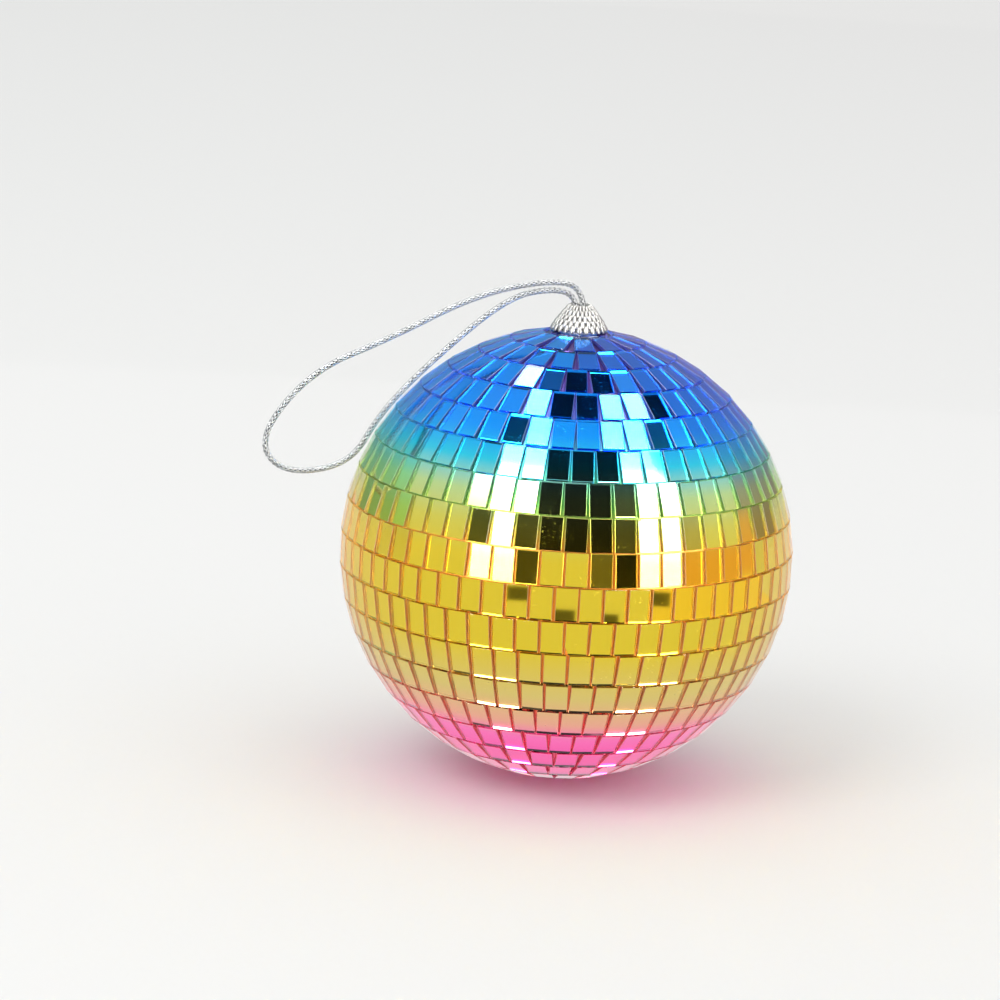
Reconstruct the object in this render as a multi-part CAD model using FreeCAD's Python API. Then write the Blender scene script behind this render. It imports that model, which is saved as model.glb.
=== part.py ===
import FreeCAD
import Part
import math
import os

# A mirror ball on a hanging loop.  Millimetres, +Z up.  The origin is the middle of the flat foot
# the ball stands on, and the ball's own axis is the Z axis.

# Ball
BALL_D = 150.0                      # across two opposite tiles
BALL_R = BALL_D / 2
BALL_Z = BALL_R                     # height of the ball's centre
ROWS = 21                           # rows from pole to pole, the two polar pieces included
ROW_PITCH = 180.0 / ROWS            # degrees of latitude
LAST_ROW = ROWS // 2 - 1            # number of full rows above or below the equator's
EQUATOR_TILES = 60
# How far round from the front each row's first tile is, as a share of its spacing; bottom row first
ROW_STARTS = [
    0.2, 0.5, 0.2, 0.4, 0.1, 0.5, 0.8, 0.65, 0.45, 0.95, 0.3, 0.2, 0.1, 0.35, 0.5, 0.4, 0.95, 0.4, 0.2,
]

# Mirror tiles, cut from sheet and set on a backing film
TILE_H = 10.7
TILE_W = 7.1
TILE_T = 1.1
TILE_GAP = 0.25                     # the least gap between two tiles of a row
FILM_T = 0.9                        # backing film and its glue, at the middle of a tile
BACK_R = BALL_R - TILE_T            # distance of a tile's back from the centre
CORE_R = BACK_R - FILM_T
CORE_WALL = 2.0
LAP_H = 4.0                         # lap joint between the two halves of the core

# Polar pieces
POLE_R = 11.0                       # outer radius of the polar tiles and of the foot
POLE_TILES = 6
NECK_R = 6.0                        # the boss that the cap is pressed on
NECK_TOP = BALL_Z + BALL_R + 3.3
WELL_R = 3.2                        # well in the boss that the knot hangs in
WELL_Z = BALL_Z + BALL_R + 1.7

# Cap
CAP_BASE_Z = BALL_Z + BALL_R + 0.7
CAP_H = 7.8
CAP_BASE_R = 9.4
CAP_TOP_R = 3.9
CAP_WALL = 1.0
CAP_HOLE_R = 2.3
SCALLOPS = 28

# Hanging loop
CORD_D = 2.0
LOOP_TURN = 192.0                   # degrees from +X to the side the loop is laid over
KNOT_R = 2.7
KNOT_Z = 154.6
# Corners of the loop's route: distance from the ball's axis, height
LOOP_ROUTE = [
    (-1.2, KNOT_Z),
    (-1.2, 164.6),
    (12.3, 166.4),
    (35.8, 160.7),
    (62.5, 146.3),
    (88.6, 134.8),
    (105.4, 112.2),
    (96.6, 100.5),
    (74.3, 103.8),
    (65.4, 120.7),
    (51.1, 136.7),
    (25.0, 160.3),
    (9.6, 163.8),
    (1.2, 161.3),
    (1.2, KNOT_Z),
]

CENTRE = FreeCAD.Vector(0, 0, BALL_Z)
UP = FreeCAD.Vector(0, 0, 1)


def save(name, shape):
    """Write one piece."""
    shape.exportStep("parts/" + name + ".step")


def latitude(row):
    """The latitude of the middle of a row; row 0 is the equator's."""
    return math.radians(row * ROW_PITCH)


def tile_count(row):
    """Tiles in a row: the equator's spacing, kept at the middle of every row."""
    return round(EQUATOR_TILES * math.cos(latitude(row)))


def row_start(row):
    """How far round from +X a row's first tile is, in degrees; the front is -Y."""
    return ROW_STARTS[row + LAST_ROW] * 360.0 / tile_count(row) - 90.0


def edge_radius(row, up):
    """Distance from the axis to a tile's back, a given way above the tile's middle."""
    lat = latitude(row)
    return BACK_R * math.cos(lat) - up * math.sin(lat)


def tile_width(row, up):
    """A tile's width at a given height above its middle: full width, or what the row leaves it."""
    half = edge_radius(row, up) * math.tan(math.pi / tile_count(row))
    return min(TILE_W, 2 * half - TILE_GAP)


def tile(row, turn):
    """One mirror tile, its back flat on the film, trimmed towards the pole where the row is short."""
    low = tile_width(row, -TILE_H / 2) / 2
    high = tile_width(row, TILE_H / 2) / 2
    corners = [(-low, -TILE_H / 2), (low, -TILE_H / 2), (high, TILE_H / 2), (-high, TILE_H / 2)]
    points = [FreeCAD.Vector(BACK_R, y, z) for y, z in corners]
    outline = Part.makePolygon(points + points[:1])
    plate = Part.Face(outline).extrude(FreeCAD.Vector(TILE_T, 0, 0))
    plate.rotate(FreeCAD.Vector(), FreeCAD.Vector(0, -1, 0), row * ROW_PITCH)
    plate.rotate(FreeCAD.Vector(), UP, turn)
    plate.translate(CENTRE)
    return plate


def tile_row(row):
    """A row of separate tiles round the ball."""
    step = 360.0 / tile_count(row)
    return Part.makeCompound([tile(row, row_start(row) + i * step) for i in range(tile_count(row))])


def seam_height(row):
    """Height over the ball's centre of the seam between the films of this row and the next one up."""
    edge = math.radians((row + 0.5) * ROW_PITCH)
    return BACK_R / math.cos(math.radians(ROW_PITCH / 2)) * math.sin(edge)


def ring_of_corners(row, height):
    """The corners of a film band's faceted outside, at one height over the ball's centre."""
    lat = latitude(row)
    flat = (BACK_R - height * math.sin(lat)) / math.cos(lat)
    count = tile_count(row)
    radius = flat / math.cos(math.pi / count)
    points = []
    for i in range(count):
        turn = math.radians(row_start(row) + (i + 0.5) * 360.0 / count)
        points.append(FreeCAD.Vector(radius * math.cos(turn), radius * math.sin(turn), height))
    return points


def film_band(row):
    """The backing film of a row: a flat facet behind every tile, and round inside on the core."""
    low = ring_of_corners(row, seam_height(row - 1))
    high = ring_of_corners(row, seam_height(row))
    count = len(low)
    faces = [
        Part.Face(Part.makePolygon(low + low[:1])),
        Part.Face(Part.makePolygon(high + high[:1])),
    ]
    for i in range(count):
        j = (i + 1) % count
        faces.append(Part.Face(Part.makePolygon([low[i], low[j], high[j], high[i], low[i]])))
    band = Part.makeSolid(Part.makeShell(faces))
    if band.Volume < 0:
        band.reverse()
    band = band.cut(Part.makeSphere(CORE_R))
    if row == LAST_ROW:
        # the boss comes up through the last band
        band = band.cut(Part.makeCylinder(NECK_R, BALL_R))
    band.translate(CENTRE)
    return band


def half_core(top):
    """Half of the hollow moulded ball, with one side of the lap joint at its rim."""
    side = 1 if top else -1
    ball = Part.makeSphere(CORE_R, CENTRE)
    ball = ball.cut(Part.makeSphere(CORE_R - CORE_WALL, CENTRE))
    keep = Part.makeCylinder(CORE_R + 1, CORE_R + 1, CENTRE, FreeCAD.Vector(0, 0, side))
    shell = ball.common(keep)
    lap_r = CORE_R - CORE_WALL / 2
    low = CENTRE - UP * (LAP_H / 2)
    if top:
        # the outer tongue of the joint reaches below the equator
        zone = Part.makeCylinder(CORE_R + 1, LAP_H / 2, low, UP)
        tongue = ball.common(zone).cut(Part.makeCylinder(lap_r, LAP_H, low, UP))
        shell = shell.fuse(tongue)
        inner = Part.makeCylinder(lap_r, LAP_H / 2, CENTRE, UP)
        shell = shell.cut(inner)
    else:
        outer = Part.makeCylinder(CORE_R + 1, LAP_H / 2, low, UP)
        outer = outer.cut(Part.makeCylinder(lap_r, LAP_H / 2, low, UP))
        shell = shell.cut(outer)
        zone = Part.makeCylinder(lap_r, LAP_H / 2, CENTRE, UP)
        shell = shell.fuse(ball.common(zone))
    return shell.removeSplitter()


def core_upper():
    """The upper half, with the boss that the cap is pressed on and the well in it for the knot."""
    shell = half_core(True)
    low = BALL_Z + CORE_R - CORE_WALL - 1
    boss = Part.makeCylinder(NECK_R, NECK_TOP - low, UP * low, UP)
    boss = boss.cut(Part.makeSphere(CORE_R - CORE_WALL, CENTRE))
    boss = boss.cut(Part.makeCylinder(WELL_R, CAP_H, UP * WELL_Z, UP))
    return shell.fuse(boss).removeSplitter()


def core_lower():
    """The lower half."""
    return half_core(False)


def film_cap_top():
    """The round of film under the polar tiles, from the last band's seam to their backs."""
    top = BALL_Z + BALL_R - 0.3 - TILE_T
    low = BALL_Z + seam_height(LAST_ROW)
    disc = Part.makeCylinder(POLE_R, top - low, FreeCAD.Vector(0, 0, low), UP)
    return disc.cut(Part.makeCylinder(NECK_R, 20, FreeCAD.Vector(0, 0, low - 5), UP))


def polar_tiles_top():
    """Six pointed tiles round the boss, under the edge of the cap."""
    base = BALL_Z + BALL_R - 0.3 - TILE_T
    half = math.pi / POLE_TILES
    inner = (NECK_R + 0.35) / math.cos(half)
    outer = POLE_R
    tiles = []
    for i in range(POLE_TILES):
        turn = 2 * math.pi * i / POLE_TILES
        points = []
        for radius, side in ((inner, -1), (outer, -1), (outer, 1), (inner, 1)):
            angle = turn + side * (half - 0.2 / radius)
            points.append(FreeCAD.Vector(radius * math.cos(angle), radius * math.sin(angle), base))
        tiles.append(Part.Face(Part.makePolygon(points + points[:1])).extrude(UP * TILE_T))
    return Part.makeCompound(tiles)


def foot():
    """The flat round foot under the middle of the last film band, its lower edge broken."""
    disc = Part.makeCylinder(POLE_R, BALL_Z - seam_height(LAST_ROW))
    return disc.makeChamfer(0.3, [edge for edge in disc.Edges if edge.BoundBox.ZMax < 0.01])


def cap():
    """The metal cap: a hollow bell with a scalloped rim, a socket for the boss and a hole for the cord."""
    top = CAP_BASE_Z + CAP_H
    rim = [
        FreeCAD.Vector(0, 0, CAP_BASE_Z),
        FreeCAD.Vector(CAP_BASE_R, 0, CAP_BASE_Z),
        FreeCAD.Vector(CAP_BASE_R - 0.7, 0, CAP_BASE_Z + CAP_H * 0.28),
        FreeCAD.Vector(CAP_BASE_R - 2.1, 0, CAP_BASE_Z + CAP_H * 0.55),
        FreeCAD.Vector(CAP_BASE_R - 3.8, 0, CAP_BASE_Z + CAP_H * 0.85),
        FreeCAD.Vector(CAP_TOP_R, 0, top),
        FreeCAD.Vector(0, 0, top),
    ]
    bell = Part.Face(Part.makePolygon(rim + rim[:1])).revolve(FreeCAD.Vector(), UP, 360)
    inside = [
        FreeCAD.Vector(0, 0, NECK_TOP),
        FreeCAD.Vector(NECK_R, 0, NECK_TOP),
        FreeCAD.Vector(CAP_TOP_R - 0.1, 0, top - CAP_WALL),
        FreeCAD.Vector(0, 0, top - CAP_WALL),
    ]
    cavity = Part.Face(Part.makePolygon(inside + inside[:1])).revolve(FreeCAD.Vector(), UP, 360)
    bell = bell.cut(cavity)
    bell = bell.cut(Part.makeCylinder(NECK_R, 10, FreeCAD.Vector(0, 0, NECK_TOP - 10), UP))
    bell = bell.cut(Part.makeCylinder(CAP_HOLE_R, 10, FreeCAD.Vector(0, 0, top - 5), UP))
    notches = []
    for i in range(SCALLOPS):
        turn = math.radians((i + 0.5) * 360.0 / SCALLOPS)
        way = FreeCAD.Vector(math.cos(turn), math.sin(turn), 0)
        notches.append(Part.makeCylinder(0.55, 2.0, way * (CAP_BASE_R - 1.2) + UP * CAP_BASE_Z, way))
    for notch in notches:
        bell = bell.cut(notch)
    return bell


def loop_points():
    """The corners of the loop's route in space."""
    turn = math.radians(LOOP_TURN)
    return [FreeCAD.Vector(out * math.cos(turn), out * math.sin(turn), z) for out, z in LOOP_ROUTE]


def cord_tube(points, diameter):
    """A round tube along straight runs joined by tangent arcs; also the arcs' radii and its length."""
    edges = []
    radii = []
    start = points[0]
    for before, corner, after in zip(points, points[1:], points[2:]):
        run_in = (corner - before).Length
        run_out = (after - corner).Length
        way_in = (corner - before).normalize()
        way_out = (after - corner).normalize()
        half_turn = way_in.getAngle(way_out) / 2
        cut_back = 0.45 * min(run_in, run_out)
        radius = cut_back / math.tan(half_turn)
        radii.append(radius)
        arc_start = corner - way_in * cut_back
        arc_end = corner + way_out * cut_back
        inward = (way_out - way_in).normalize()
        middle = corner + inward * (radius / math.cos(half_turn) - radius)
        edges.append(Part.LineSegment(start, arc_start).toShape())
        edges.append(Part.Arc(arc_start, middle, arc_end).toShape())
        start = arc_end
    edges.append(Part.LineSegment(start, points[-1]).toShape())
    path = Part.Wire(edges)
    way = (points[1] - points[0]).normalize()
    section = Part.Wire(Part.makeCircle(diameter / 2, points[0], way))
    tube = path.makePipeShell([section], True, True)
    return tube, radii, path.Length


def cord_knot():
    """The knot that holds both ends of the loop under the cap's hole."""
    return Part.makeSphere(KNOT_R, FreeCAD.Vector(0, 0, KNOT_Z))


def cord_loop():
    """The hanging loop, its two ends met by the knot."""
    tube, radii, length = cord_tube(loop_points(), CORD_D)
    section = math.pi * CORD_D ** 2 / 4
    print("cord arc radii", [round(radius, 1) for radius in radii])
    print("cord length", round(length, 1))
    print("cord volume", round(tube.Volume, 1), "section by length", round(section * length, 1))
    return tube.cut(cord_knot())


os.makedirs("parts", exist_ok=True)
for row in range(-LAST_ROW, LAST_ROW + 1):
    number = "%02d" % (row + LAST_ROW + 1)
    save("tiles_" + number, tile_row(row))
    save("film_" + number, film_band(row))
    print("row", number, "tiles", tile_count(row))
save("core_lower", core_lower())
save("core_upper", core_upper())
save("film_top", film_cap_top())
save("polar_tiles_top", polar_tiles_top())
save("foot", foot())
save("cap", cap())
save("cord_loop", cord_loop())
save("cord_knot", cord_knot())
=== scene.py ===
import math
import random

import bpy
from mathutils import Matrix, Vector


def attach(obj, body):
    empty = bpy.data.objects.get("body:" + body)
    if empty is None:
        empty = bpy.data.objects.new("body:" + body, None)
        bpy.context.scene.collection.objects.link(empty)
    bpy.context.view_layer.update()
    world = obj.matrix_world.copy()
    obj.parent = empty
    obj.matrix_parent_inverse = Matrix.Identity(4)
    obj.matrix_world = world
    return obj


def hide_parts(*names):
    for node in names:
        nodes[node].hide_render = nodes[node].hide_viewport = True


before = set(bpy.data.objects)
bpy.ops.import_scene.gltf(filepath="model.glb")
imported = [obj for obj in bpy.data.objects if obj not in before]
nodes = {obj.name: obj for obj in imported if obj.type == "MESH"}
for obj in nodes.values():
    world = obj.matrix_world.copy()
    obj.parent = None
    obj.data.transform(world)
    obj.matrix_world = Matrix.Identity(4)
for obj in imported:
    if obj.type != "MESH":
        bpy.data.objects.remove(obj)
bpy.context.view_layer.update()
scene = bpy.context.scene
chance = random.Random(15)


# Camera
# A long lens a little above the ball's middle, level with a person who looks at it on a table.
# It is rolled by the few degrees that the ball leans.
BALL_R = 0.075
BALL_MIDDLE = Vector((0, 0, BALL_R))
VIEW_UP = math.radians(12.2)
VIEW_ROLL = math.radians(3.1)
VIEW_DISTANCE = 1.25
VIEW_SHIFT = (-0.0220, 0.0173, 0)
back = Vector((0, -math.cos(VIEW_UP), math.sin(VIEW_UP)))
camera = bpy.data.objects.new("camera", bpy.data.cameras.new("camera"))
camera.data.lens = 135
camera.data.sensor_width = 36
camera.data.clip_start = 0.05
camera.data.clip_end = 40
camera.rotation_mode = "QUATERNION"
roll = Matrix.Rotation(VIEW_ROLL, 3, "Z").to_quaternion()
camera.rotation_quaternion = (-back).to_track_quat("-Z", "Y") @ roll
camera.location = BALL_MIDDLE + back * VIEW_DISTANCE + camera.rotation_quaternion @ Vector(VIEW_SHIFT)
scene.collection.objects.link(camera)
scene.camera = camera
scene.view_settings.view_transform = "Standard"


# Hanging loop
# A round braid of eight silver metallised strands over a dark core, 2 mm thick, in one loop of 271 mm.
# Both ends go down through the hole of the cap to the knot in it. The loop springs up out of the hole
# and lies over one side of the ball.
LOOP_TURN = math.radians(192)
CAP_TOP = 0.1585
LOOP_ROUTE = [
    (-1.2, 154.6), (-1.2, 164.6), (12.3, 166.4), (35.8, 160.7), (62.5, 146.3), (88.6, 134.8), (105.4, 112.2),
    (96.6, 100.5), (74.3, 103.8), (65.4, 120.7), (51.1, 136.7), (25.0, 160.3), (9.6, 163.8), (1.2, 161.3),
    (1.2, 154.6),
]
out = Vector((math.cos(LOOP_TURN), math.sin(LOOP_TURN), 0))
route = bpy.data.curves.new("route", "CURVE")
route.dimensions = "3D"
route.resolution_u = 24
line = route.splines.new("NURBS")
line.points.add(len(LOOP_ROUTE) - 1)
for point, (away, height) in zip(line.points, LOOP_ROUTE):
    point.co = (*(out * away * 0.001 + Vector((0, 0, height * 0.001))), 1)
line.order_u = 3
line.use_endpoint_u = True
route_object = bpy.data.objects.new("route", route)
scene.collection.objects.link(route_object)
bpy.context.view_layer.update()
drawn = bpy.data.meshes.new_from_object(route_object)
along = [v.co.copy() for v in drawn.vertices]
bpy.data.objects.remove(route_object)
bpy.data.meshes.remove(drawn)


class Value:
    """A number that changes over a surface, with the arithmetic of ordinary numbers."""

    def __init__(self, finish, socket):
        self.finish = finish
        self.socket = socket

    def with_(self, operation, *others):
        values = {0: self, **dict(enumerate(others, 1))}
        return self.finish.add("ShaderNodeMath", {"operation": operation}, values)

    def __add__(self, other):
        return self.with_("ADD", other)

    def __mul__(self, other):
        return self.with_("MULTIPLY", other)

    def __sub__(self, other):
        return self.with_("SUBTRACT", other)

    def __rsub__(self, other):
        return self.with_("MULTIPLY", -1) + other

    def __truediv__(self, other):
        return self.with_("DIVIDE", other)

    def clamp(self):
        return self.finish.add("ShaderNodeClamp", {}, {"Value": self}, "Result")


class Finish:
    """A material and the nodes that make it."""

    def __init__(self, name, **sockets):
        self.material = bpy.data.materials.new(name)
        self.material.use_nodes = True
        self.tree = self.material.node_tree
        self.surface = self.tree.nodes["Principled BSDF"]
        for socket, value in sockets.items():
            self.set(socket.replace("_", " ").title().replace("Ior", "IOR"), value)

    def plug(self, socket, value):
        if isinstance(value, Value):
            self.tree.links.new(value.socket, socket)
        else:
            socket.default_value = value

    def set(self, socket, value):
        self.plug(self.surface.inputs[socket], value)

    def add(self, kind, settings, values, result=0):
        """One node of any kind: its settings first, then the values or links of its sockets."""
        node = self.tree.nodes.new(kind)
        for name, value in settings.items():
            if name == "stops":
                ramp = node.color_ramp
                while len(ramp.elements) < len(value):
                    ramp.elements.new(0.5)
                for stop, (place, colour) in zip(ramp.elements, value):
                    stop.position = place
                    stop.color = (*colour, 1)
            else:
                setattr(node, name, value)
        for socket, value in values.items():
            self.plug(node.inputs[socket], value)
        return Value(self, node.outputs[result])

    def place(self):
        return self.add("ShaderNodeTexCoord", {}, {}, "Object")

    def part(self, vector, axis):
        return self.add("ShaderNodeSeparateXYZ", {}, {0: vector}, axis)

    def noise(self, place, scale, detail=2.0, rough=0.5):
        sockets = {"Vector": place, "Scale": scale, "Detail": detail, "Roughness": rough}
        return self.add("ShaderNodeTexNoise", {}, sockets)

    def ramp(self, value, *stops):
        return self.add("ShaderNodeValToRGB", {"stops": stops}, {0: value})

    def mix(self, factor, first, second):
        return self.add("ShaderNodeMix", {"data_type": "RGBA"}, {0: factor, 6: first, 7: second}, 2)

    def bump(self, height, strength, distance):
        sockets = {"Height": height, "Strength": strength, "Distance": distance}
        self.set("Normal", self.add("ShaderNodeBump", {}, sockets))


def finished(piece, finish, rounded=None):
    """Puts a finish on a piece and smooths it if its faces are rounded."""
    piece.data.materials.clear()
    piece.data.materials.append(finish.material)
    if rounded is not None:
        alone(piece)
        bpy.ops.object.shade_smooth_by_angle(angle=math.radians(rounded))


def alone(piece):
    """Selects one piece and nothing else."""
    bpy.ops.object.select_all(action="DESELECT")
    piece.select_set(True)
    bpy.context.view_layer.objects.active = piece


def join(name, pieces):
    """Joins pieces into one, under a name."""
    alone(pieces[0])
    for piece in pieces[1:]:
        piece.select_set(True)
    if len(pieces) > 1:
        bpy.ops.object.join()
    whole = bpy.context.view_layer.objects.active
    whole.name = name
    bpy.ops.object.transform_apply(location=True, rotation=True, scale=True)
    return whole


def thread(name, points, radius):
    """A round thread through points."""
    curve = bpy.data.curves.new(name, "CURVE")
    curve.dimensions = "3D"
    curve.bevel_depth = radius
    curve.bevel_resolution = 1
    middle = curve.splines.new("POLY")
    middle.points.add(len(points) - 1)
    for point, spot in zip(middle.points, points):
        point.co = (*spot, 1)
    piece = bpy.data.objects.new(name, curve)
    scene.collection.objects.link(piece)
    alone(piece)
    bpy.ops.object.convert(target="MESH")
    return bpy.context.view_layer.objects.active


BRAID_PITCH = 0.0066
BRAID_STEPS = 16
STRAND_R = 0.00022
STRAND_OUT = 0.00072
OVER_UNDER = 0.00013
CORE_R = 0.00052


def braid_strand(hand, number):
    """One strand of the braid, over and under the strands that wind the other way."""
    side = out.cross(Vector((0, 0, 1)))
    step = BRAID_PITCH / BRAID_STEPS
    spots = []
    travelled = 0.0
    for first, second in zip(along, along[1:]):
        gap = (second - first).length
        way = (second - first).normalized()
        across = way.cross(side).normalized()
        while gap and len(spots) * step <= travelled + gap:
            at = first + way * (len(spots) * step - travelled)
            turn = hand * 2 * math.pi * len(spots) / BRAID_STEPS + number * math.pi / 2
            lift = STRAND_OUT + hand * OVER_UNDER * math.cos(math.pi * len(spots) / 2)
            spots.append(at + (side * math.cos(turn) + across * math.sin(turn)) * lift)
        travelled += gap
    return thread("strand", spots, STRAND_R)


loop = join("hanging_loop", [braid_strand(hand, number) for hand in (1, -1) for number in range(4)])
silver_thread = Finish("silver_thread", metallic=0.25, roughness=0.35)
fibres = silver_thread.noise(silver_thread.place(), 5200, 2.0)
silver_thread.set("Roughness", fibres * 0.24 + 0.2)
silver_thread.set("Base Color", silver_thread.mix(fibres, (0.26, 0.27, 0.29, 1), (0.44, 0.445, 0.44, 1)))
silver_thread.bump(fibres, 0.35, 0.00006)
finished(loop, silver_thread, 60)
core = thread("cord_core", along, CORE_R)
dark_core = Finish("dark_core", base_color=(0.025, 0.025, 0.03, 1), roughness=0.8)
dark_core.bump(dark_core.noise(dark_core.place(), 4000), 0.3, 0.00005)
finished(core, dark_core, 60)
loop = join("hanging_loop", [loop, core])
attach(loop, "loop")
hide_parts("cord_loop")
finished(nodes["cord_knot"], silver_thread)


# Mirror tiles
# Flat plates of clear acrylic, 1.1 mm thick, with a mirror coat on the back that is tinted in one run
# of colour from the ball's bottom to its top. They are sheared from strip, which leaves two rough
# sides, and stuck down by eye, row by row.
ROW_PITCH = math.radians(180 / 21)
LAST_ROW = 9
EQUATOR_TILES = 60
TILE_H = 0.0107
TILE_W = 0.0071
TILE_T = 0.0011
TILE_GAP = 0.00025
BACK_R = BALL_R - TILE_T
TILE_BEVEL = 0.00012
TILE_SLIP = 0.00006
GLUE = 0.0001
ROW_STARTS = [
    0.2, 0.5, 0.2, 0.4, 0.1, 0.5, 0.8, 0.65, 0.45, 0.95, 0.3, 0.2, 0.1, 0.35, 0.5, 0.4, 0.95, 0.4, 0.2,
]
ROSE = (1.0, 0.08, 0.41)
PINK = (1.0, 0.15, 0.49)
PEACH = (0.85, 0.40, 0.28)
BEIGE = (0.72, 0.56, 0.17)
GOLD = (0.77, 0.58, 0.036)
STRAW = (0.68, 0.62, 0.095)
LIME = (0.50, 0.69, 0.29)
TEAL = (0.03, 0.60, 0.80)
AZURE = (0.007, 0.33, 1.0)
BLUE = (0.007, 0.25, 0.90)
VIOLET = (0.008, 0.235, 0.78)
RUN_OF_COLOUR = (
    (0.0, ROSE), (0.12, ROSE), (0.175, PINK), (0.215, PEACH), (0.285, BEIGE), (0.39, GOLD), (0.585, GOLD),
    (0.65, STRAW), (0.715, LIME), (0.775, TEAL), (0.835, AZURE), (0.90, BLUE), (1.0, VIOLET),
)
# The sheared sides take the tiles' tint, made darker and deeper up the ball: painted shade for the gaps
# between the tiles.
SHADED_EDGE_RUN = (
    (0.0, (0.85, 0.16, 0.30)), (0.20, (0.80, 0.22, 0.22)), (0.28, (0.64, 0.32, 0.15)),
    (0.60, (0.62, 0.34, 0.07)), (0.69, (0.26, 0.40, 0.10)), (0.77, (0.02, 0.24, 0.26)),
    (0.84, (0.01, 0.10, 0.30)), (1.0, (0.06, 0.05, 0.28)),
)


def up_the_ball(finish, stops):
    """A run of colour from the ball's bottom to its top."""
    height = finish.part(finish.place(), "Z")
    return finish.ramp(height / (2 * BALL_R), *stops)


clear_plate = Finish("clear_plate", base_color=(1, 1, 1, 1), roughness=0.0, transmission_weight=1.0, ior=1.49,
                     specular_tint=(0.12, 0.12, 0.12, 1))
# The rough sides are coloured with painted shade, darker than the tiles, to darken the gaps between them.
sheared_edge = Finish("sheared_edge", roughness=0.4, transmission_weight=0.35, ior=1.49)
sheared_edge.set("Base Color", up_the_ball(sheared_edge, SHADED_EDGE_RUN))
sheared_edge.bump(sheared_edge.noise(sheared_edge.place(), 1500), 0.3, 0.00005)
mirror_coat = Finish("mirror_coat", metallic=1.0, roughness=0.03)
mirror_coat.set("Base Color", up_the_ball(mirror_coat, RUN_OF_COLOUR))
specks = mirror_coat.noise(mirror_coat.place(), 1300, 2.0, 0.6)
patches = mirror_coat.noise(mirror_coat.place(), 70, 1.0)
lost_coat = (specks * 12 - 7.4).clamp() * (patches * 6 - 3.0).clamp()
mirror_coat.set("Metallic", 1 - lost_coat * 0.45)


def plate(low, high, tall, thick):
    """A plate with its back at x = 0 and its front at x = thick, narrower or wider at the top."""
    bpy.ops.object.select_all(action="DESELECT")
    bpy.ops.mesh.primitive_cube_add(size=1, location=(thick / 2, 0, 0), scale=(thick, low, tall))
    made = bpy.context.active_object
    bpy.ops.object.transform_apply(location=True, rotation=True, scale=True)
    for v in made.data.vertices:
        if v.co.z > 0:
            v.co.y *= high / low
    made.data.materials.append(clear_plate.material)
    made.data.materials.append(mirror_coat.material)
    made.data.materials.append(sheared_edge.material)
    bpy.ops.object.mode_set(mode="EDIT")
    bpy.ops.mesh.select_all(action="DESELECT")
    bpy.ops.object.mode_set(mode="OBJECT")
    for e in made.data.edges:
        e.select = all(made.data.vertices[i].co.x > thick / 2 for i in e.vertices)
    bpy.ops.object.mode_set(mode="EDIT")
    bpy.ops.mesh.bevel(offset=TILE_BEVEL, segments=1, affect="EDGES")
    bpy.ops.object.mode_set(mode="OBJECT")
    for face in made.data.polygons:
        coated = face.normal.x < -0.9
        sheared = abs(face.normal.y) > 0.5
        face.material_index = 1 if coated else 2 if sheared else 0
    return made


def copies(first, places):
    """One more of a piece for each place, each with its own mesh. The first piece is used up."""
    made = []
    for place in places:
        piece = first.copy()
        piece.data = first.data.copy()
        piece.matrix_world = place
        scene.collection.objects.link(piece)
        made.append(piece)
    bpy.data.objects.remove(first)
    return made


def tile_count(row):
    return round(EQUATOR_TILES * math.cos(row * ROW_PITCH))


def row_start(row):
    return math.radians(ROW_STARTS[row + LAST_ROW] * 360.0 / tile_count(row) - 90)


def tile_width(row, up):
    lat = row * ROW_PITCH
    half = (BACK_R * math.cos(lat) - up * math.sin(lat)) * math.tan(math.pi / tile_count(row))
    return min(TILE_W, 2 * half - TILE_GAP)


def out_of_true(axis, spread):
    """A small turn about an axis, at random within a spread in degrees."""
    return Matrix.Rotation(math.radians(chance.gauss(0, spread)), 4, axis)


def stuck_down(row, turn):
    """The place of a tile: on its facet, and out of true by a little."""
    flat = Matrix.Translation((BACK_R + GLUE, 0, 0))
    slip = Matrix.Translation((0, chance.gauss(0, TILE_SLIP), chance.gauss(0, TILE_SLIP)))
    lean = out_of_true("Y", 0.35) @ out_of_true("Z", 0.35) @ out_of_true("X", 0.5)
    up_the_side = Matrix.Rotation(-row * ROW_PITCH, 4, "Y")
    return Matrix.Translation(BALL_MIDDLE) @ Matrix.Rotation(turn, 4, "Z") @ up_the_side @ flat @ slip @ lean


for row in range(-LAST_ROW, LAST_ROW + 1):
    name = "tiles_%02d" % (row + LAST_ROW + 1)
    count = tile_count(row)
    first = plate(tile_width(row, -TILE_H / 2), tile_width(row, TILE_H / 2), TILE_H, TILE_T)
    turns = [row_start(row) + i * 2 * math.pi / count for i in range(count)]
    tiles = join("mirror_" + name, copies(first, [stuck_down(row, turn) for turn in turns]))
    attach(tiles, "ball")
    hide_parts(name)


# Polar tiles
# Six pointed tiles of the same mirror, laid round the boss under the edge of the cap, with a fine gap
# between them.
POLE_TILES = 6
POLE_IN = 0.00635
POLE_OUT = 0.0109
POLE_TOP = 0.1497
POLE_GAP = 0.0004
half = math.pi / POLE_TILES
flat_out = POLE_OUT * math.cos(half)
first = plate(2 * flat_out * math.tan(half) - POLE_GAP, 2 * POLE_IN * math.tan(half) - POLE_GAP,
              flat_out - POLE_IN, TILE_T)
places = []
for i in range(POLE_TILES):
    base = Matrix.Translation(((POLE_IN + flat_out) / 2, 0, POLE_TOP - TILE_T))
    lay = Matrix.Rotation(math.radians(-90 + chance.gauss(0.5, 0.5)), 4, "Y")
    places.append(Matrix.Rotation(i * 2 * half, 4, "Z") @ base @ lay)
polar = join("mirror_polar_tiles", copies(first, places))
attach(polar, "ball")
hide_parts("polar_tiles_top")


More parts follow.
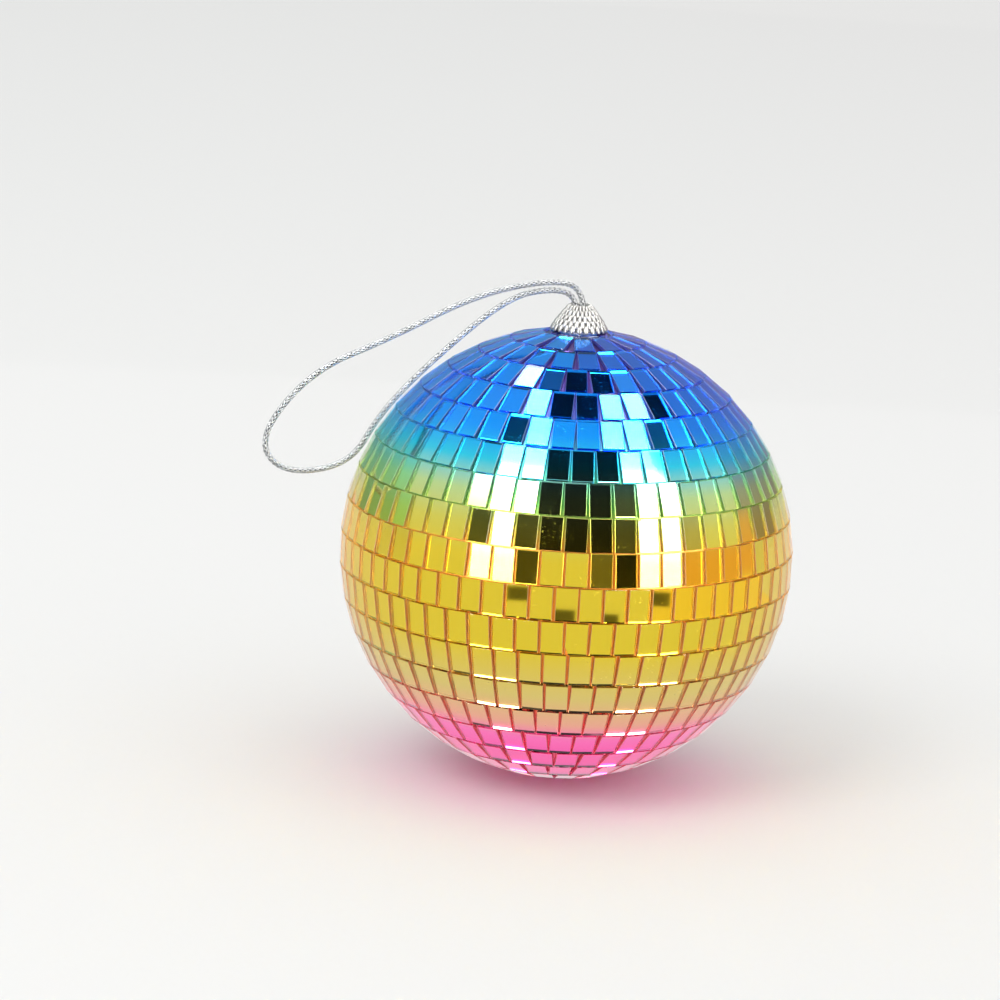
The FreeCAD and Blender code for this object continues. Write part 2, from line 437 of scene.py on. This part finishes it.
# Backing film
# The tinted mirror film that the tiles are stuck to, seen in the gaps between them. Its tint is deeper
# than the tiles', and it creases where it is pulled round the ball.
GAP_RUN = (
    (0.0, (0.85, 0.03, 0.14)), (0.17, (0.85, 0.03, 0.14)), (0.25, (0.72, 0.10, 0.05)),
    (0.37, (0.66, 0.20, 0.02)), (0.60, (0.62, 0.22, 0.02)), (0.70, (0.08, 0.30, 0.05)),
    (0.78, (0.01, 0.20, 0.20)), (0.84, (0.01, 0.05, 0.22)), (0.93, (0.05, 0.014, 0.18)),
    (1.0, (0.05, 0.014, 0.16)),
)
mirror_film = Finish("mirror_film", metallic=0.6, roughness=0.3)
mirror_film.set("Base Color", up_the_ball(mirror_film, GAP_RUN))
mirror_film.bump(mirror_film.noise(mirror_film.place(), 900, 3.0), 0.3, 0.0001)
for name in nodes:
    if name.startswith("film_"):
        finished(nodes[name], mirror_film)


# Core and foot
# The hollow ball under the film is moulded in two halves; only its boss shows, between the tiles and
# the cap. The foot is a moulded disc under the lowest film band.
moulded = Finish("moulded_core", base_color=(0.60, 0.61, 0.64, 1), roughness=0.5)
moulded.bump(moulded.noise(moulded.place(), 2200), 0.15, 0.00005)
finished(nodes["core_lower"], moulded)
finished(nodes["core_upper"], moulded)
foot_plastic = Finish("foot_plastic", base_color=(0.80, 0.16, 0.36, 1), roughness=0.3)
foot_plastic.bump(foot_plastic.noise(foot_plastic.place(), 1600), 0.1, 0.00005)
finished(nodes["foot"], foot_plastic)


# Cap
# A bell of silver-plated metal worked in rows of upright loops, like knitting, on a darker ground, with
# a rolled rim round the cord hole. It is pressed on the boss.
CAP_LOW = 0.1507
CAP_H = CAP_TOP - CAP_LOW
BELL_FOOT_R = 0.0090
BELL_TAPER = 0.0056
BELL_CURVE = 1.15
BELL_WALL = 0.0006
RIM_R = 0.0031
RIM_WIRE_R = 0.0005
COLUMNS = 24
STITCH_ROWS = 5
STITCH_DEEP = 0.00055
STITCH_TALL = 0.0015
cap_dark = Finish("cap_ground", base_color=(0.05, 0.049, 0.047, 1), metallic=0.6, roughness=0.5)
cap_dark.bump(cap_dark.noise(cap_dark.place(), 2600), 0.4, 0.0001)
cap_silver = Finish("cap_silver", metallic=0.25, roughness=0.3)
tarnish = cap_silver.noise(cap_silver.place(), 900, 3.0)
cap_silver.set("Roughness", tarnish * 0.25 + 0.18)
cap_silver.set("Base Color", cap_silver.mix(tarnish, (0.25, 0.243, 0.23, 1), (0.385, 0.375, 0.36, 1)))


def cap_radius(share):
    """The bell's radius at a share of its height."""
    return BELL_FOOT_R - BELL_TAPER * share ** BELL_CURVE


bpy.ops.object.select_all(action="DESELECT")
bpy.ops.mesh.primitive_cylinder_add(vertices=48, radius=1, depth=CAP_H - 0.0004, end_fill_type="NOTHING",
                                    location=(0, 0, CAP_LOW + CAP_H / 2))
ground = bpy.context.active_object
bpy.ops.object.transform_apply(location=True, rotation=True, scale=True)
bpy.ops.object.mode_set(mode="EDIT")
bpy.ops.mesh.select_all(action="SELECT")
bpy.ops.mesh.subdivide(number_cuts=5)
bpy.ops.object.mode_set(mode="OBJECT")
for v in ground.data.vertices:
    sideways = Vector((v.co.x, v.co.y, 0)).normalized()
    v.co = sideways * (cap_radius((v.co.z - CAP_LOW) / CAP_H) - 0.0002) + Vector((0, 0, v.co.z))
wall = ground.modifiers.new("wall", "SOLIDIFY")
wall.thickness = BELL_WALL
wall.offset = -1
alone(ground)
bpy.ops.object.modifier_apply(modifier="wall")
finished(ground, cap_dark, 40)
bpy.ops.object.select_all(action="DESELECT")
bpy.ops.mesh.primitive_uv_sphere_add(segments=10, ring_count=8, radius=1)
stitch = bpy.context.active_object
finished(stitch, cap_silver, 60)
places = []
for row in range(STITCH_ROWS):
    share = (row + 0.42) / STITCH_ROWS
    radius = cap_radius(share)
    wide = math.pi * radius / COLUMNS * 0.80
    slope = (cap_radius(share - 0.06) - cap_radius(min(share + 0.06, 1))) / (0.12 * CAP_H)
    spot = Matrix.Translation((radius, 0, CAP_LOW + share * CAP_H))
    inward = Matrix.Rotation(-math.atan(slope), 4, "Y")
    for column in range(COLUMNS):
        turn = Matrix.Rotation(2 * math.pi * (column + 0.5 * (row % 2)) / COLUMNS, 4, "Z")
        size = Matrix.Diagonal((STITCH_DEEP, wide, STITCH_TALL + chance.gauss(0, 0.00004), 1))
        places.append(turn @ spot @ inward @ out_of_true("X", 2) @ size)
stitches = copies(stitch, places)
bpy.ops.object.select_all(action="DESELECT")
bpy.ops.mesh.primitive_torus_add(major_radius=RIM_R, minor_radius=RIM_WIRE_R, major_segments=40,
                                 minor_segments=10, location=(0, 0, CAP_TOP - RIM_WIRE_R))
rim = bpy.context.active_object
finished(rim, cap_silver, 60)
cap = join("cap_bell", [ground, *stitches, rim])
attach(cap, "ball")
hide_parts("cap")


# Studio
# A pale floor under an even pale light. Cards bent round the ball make the soft boxes, the black screens
# and the dim corners that the tiles mirror, and nothing but the mirrors sees them.
def mirrored_only(card, light):
    """Lights a card, and hides it from everything but the mirrors."""
    card.visible_camera = False
    card.visible_diffuse = False
    card.visible_shadow = False
    finished(card, Finish(card.name, base_color=(0, 0, 0, 1), roughness=1.0, specular_ior_level=0.0,
                          emission_color=(*light, 1), emission_strength=1.0))


def card_of(name, points, faces):
    """A thin card with corners and faces."""
    mesh = bpy.data.meshes.new(name)
    mesh.from_pydata(points, [], faces)
    card = bpy.data.objects.new(name, mesh)
    scene.collection.objects.link(card)
    return card


CARD_STEPS = 6


def dome_card(name, outline, light, far=2.6):
    """A card bent round the ball: (angle from the front up and over, left edge, right edge) in degrees."""
    points = []
    for over, left, right in outline:
        for i in range(CARD_STEPS + 1):
            aside = math.radians(left + (right - left) * i / CARD_STEPS)
            up = math.radians(over)
            way = Vector((math.sin(aside), -math.cos(aside) * math.cos(up), math.cos(aside) * math.sin(up)))
            points.append(BALL_MIDDLE + way * far)
    faces = []
    for j in range(len(outline) - 1):
        for i in range(CARD_STEPS):
            low = (CARD_STEPS + 1) * j + i
            high = low + CARD_STEPS + 1
            faces.append((low, low + 1, high + 1, high))
    mirrored_only(card_of(name, points, faces), light)


SOFT_BOX = (27.0, 27.0, 26.5)
dome_card("soft_box_left", [
    (-2, -51, -26), (14, -47, -26.5), (24, -40, -27.5), (34, -39.5, -20), (45, -39, -16), (60, -34, -11.5),
    (68, -32, -11), (77, -19.5, -9.5), (96, -18, -9.5), (104, -22, -10), (117, -16.5, -10.5),
    (122, -16.5, -10.5),
], SOFT_BOX)
dome_card("soft_box_right", [
    (-2, 36, 60), (26, 35, 58), (45, 32, 54), (58, 27, 53), (63, 21.5, 42), (69, 19, 37), (77, 11.5, 31),
    (92, 11.5, 29), (95, 14.5, 27), (104, 18, 26), (107, 18, 26),
], SOFT_BOX)
BLACK = (0.022, 0.022, 0.024)
SCREEN_FAR = 2.8
for name, outline in (
        ("black_screen_low", [(13, -15, 22), (34, -15, 22), (45, -18, 35), (67, -14, 25)]),
        ("black_screen_right", [(-2, 23, 38), (13, 23, 38)]),
        ("black_screen_high", [(86, -11, 15), (100, -11, 18), (106, -3, 13), (116, -3, 13)]),
        ("black_spot_high", [(105, 25, 32), (117, 25, 32)])):
    dome_card(name, outline, BLACK, SCREEN_FAR)
DUSK = (0.10, 0.10, 0.09)
for name, outline, light, far in (
        ("dusk_left", [(-2, -28, -14), (35, -29, -14)], DUSK, SCREEN_FAR),
        ("dusk_right", [(13, 22, 37), (50, 22, 34)], DUSK, 2.82),
        ("dusk_middle", [(-2, 11, 23), (13, 11, 23)], (0.2, 0.19, 0.17), SCREEN_FAR),
        ("dusk_far_left", [(17, -53, -38), (36, -52, -39)], (0.12, 0.13, 0.11), SCREEN_FAR),
        ("dusk_far_right", [(-4, 59, 73), (13, 59, 72)], DUSK, SCREEN_FAR),
        ("beige_far_right", [(24, 58, 70), (50, 53, 70)], (0.65, 0.6, 0.62), SCREEN_FAR),
        ("dusk_high_left", [(77, -29, -18), (93, -29, -17)], (0.12, 0.12, 0.12), SCREEN_FAR),
        ("dusk_high_right", [(84, 28, 38), (98, 26, 38)], (0.2, 0.2, 0.2), SCREEN_FAR),
        ("dusk_high_middle", [(104, -12, -3), (117, -12, -3)], (0.3, 0.3, 0.33), 2.82)):
    dome_card(name, outline, light, far)
CEILING_FAR = 3.2
for over in range(118, 176, 8):
    # the ceiling dims towards the back, cool on one side and mauve on the other
    grey = 0.92 * (1 - (over - 110) / 130)
    cool = (grey * 0.6, grey * 1.06, grey * 1.06)
    mauve = (grey * 0.8, grey * 0.66, grey * 0.82)
    dome_card("ceiling_left_%d" % over, [(over, -88, 2), (over + 8, -88, 2)], cool, CEILING_FAR)
    dome_card("ceiling_right_%d" % over, [(over, 2, 88), (over + 8, 2, 88)], mauve, CEILING_FAR)
BLOT_AWAY = 0.24
for number, (column, rise) in enumerate([(-3, 0.0032), (-1, -0.0036), (1, -0.0036), (3, 0.001)]):
    # small dark things on the floor, seen in the middle row of tiles
    turn = row_start(0) + column * 2 * math.pi / tile_count(0)
    facing = Vector((math.cos(turn), math.sin(turn), 0))
    at = BALL_MIDDLE + facing * BALL_R + Vector((0, 0, rise))
    seen = (camera.location - at).normalized()
    way = 2 * facing.dot(seen) * facing - seen
    bpy.ops.object.select_all(action="DESELECT")
    bpy.ops.mesh.primitive_plane_add(size=2)
    blot = bpy.context.active_object
    blot.name = "blot_%d" % number
    turned = way.to_track_quat("Z", "Y").to_matrix().to_4x4()
    shape = Matrix.Diagonal((0.0075, 0.0027, 1, 1))
    blot.matrix_world = Matrix.Translation(at + way * BLOT_AWAY) @ turned @ shape
    mirrored_only(blot, (0.13, 0.13, 0.12))
for name, corners, light in (
        ("floor_glow", [(-0.7, -0.7, 0.0006), (0.7, -0.7, 0.0006), (0.7, 0.7, 0.0006), (-0.7, 0.7, 0.0006)],
         (0.95, 0.95, 0.95)),
        ("warm_floor", [(0.22, -0.26, 0.001), (1.5, -0.9, 0.001), (1.5, 0.5, 0.001), (0.22, 0.1, 0.001)],
         (1.12, 0.92, 0.58)),
        ("warm_wall", [(1.5, -0.9, 0.001), (1.5, -0.9, 0.3), (1.5, 0.5, 0.3), (1.5, 0.5, 0.001)],
         (1.0, 0.58, 0.42))):
    mirrored_only(card_of(name, corners, [(0, 1, 2, 3)]), light)
bpy.ops.object.select_all(action="DESELECT")
bpy.ops.mesh.primitive_circle_add(vertices=64, radius=8, fill_type="NGON")
floor = bpy.context.active_object
floor.name = "floor"
pale = Finish("pale_floor", base_color=(0.82, 0.82, 0.81, 1), roughness=0.9, specular_ior_level=0.1)
finished(floor, pale)
world = bpy.data.worlds.new("studio")
world.use_nodes = True
world.node_tree.nodes["Background"].inputs["Color"].default_value = (1, 1, 1, 1)
world.node_tree.nodes["Background"].inputs["Strength"].default_value = 0.95
scene.world = world
scene.cycles.glossy_bounces = 8
key = bpy.data.objects.new("key", bpy.data.lights.new("key", "AREA"))
key.data.size = 1.2
key.data.energy = 14
key.location = (-1.2, -1.4, 1.9)
key.rotation_mode = "QUATERNION"
key.rotation_quaternion = (BALL_MIDDLE - key.location).to_track_quat("-Z", "Y")
key.visible_glossy = False
scene.collection.objects.link(key)
